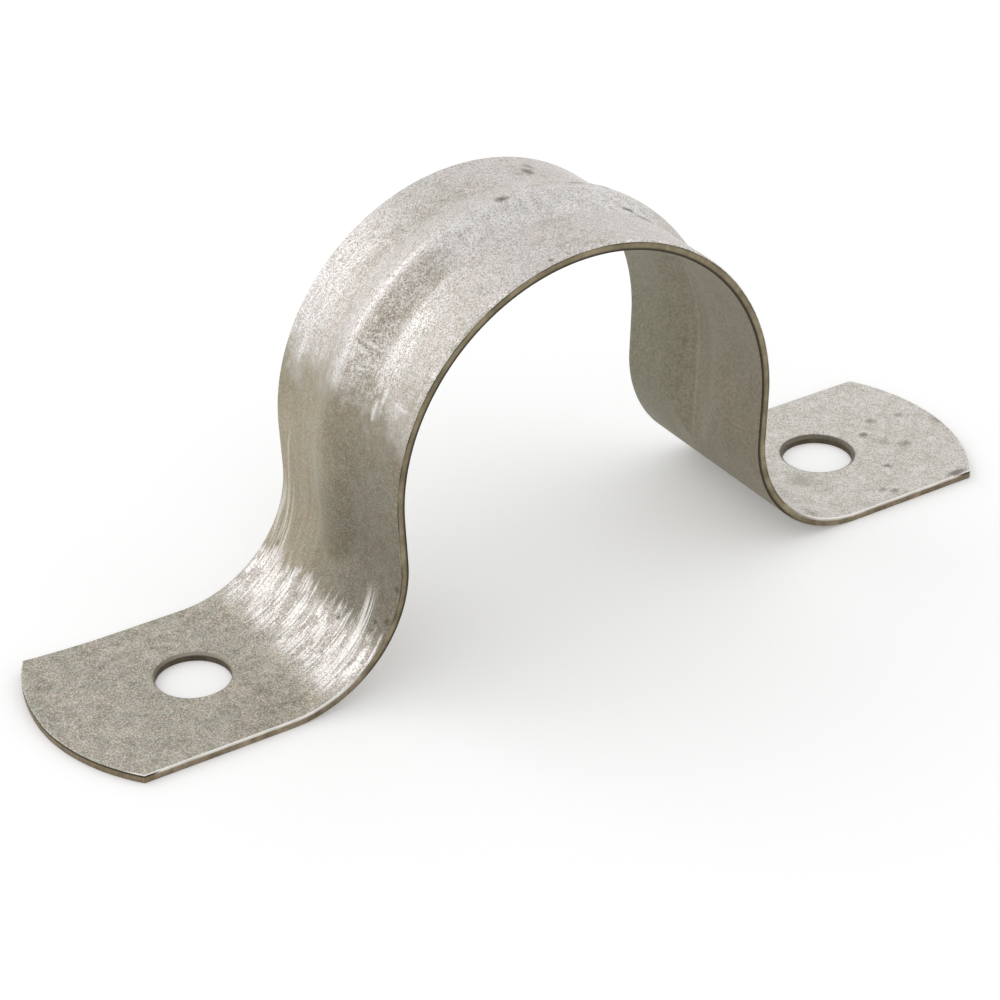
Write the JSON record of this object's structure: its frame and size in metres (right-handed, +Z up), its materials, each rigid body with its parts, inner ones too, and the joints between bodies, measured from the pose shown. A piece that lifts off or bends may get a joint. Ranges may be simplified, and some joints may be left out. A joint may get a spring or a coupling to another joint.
{
  "type": "conduit strap",
  "caption": "Bent sheet-steel strap with an arch that holds a conduit, a stiffening rib along the arch, and a flat screw foot on each side.",
  "frame": {"origin": "on the mounting surface, below the crown and half way across the strip", "axes": "+X from foot to foot, +Y across the strip along the conduit, +Z up, away from the mounting surface"},
  "size_m": [0.0898, 0.019, 0.0352],
  "materials": {
    "zinc_steel": "matt zinc coat with fine spangle and drawn streaks"
  },
  "bodies": {
    "root": {"strap": "zinc_steel"}
  },
  "joints": []
}
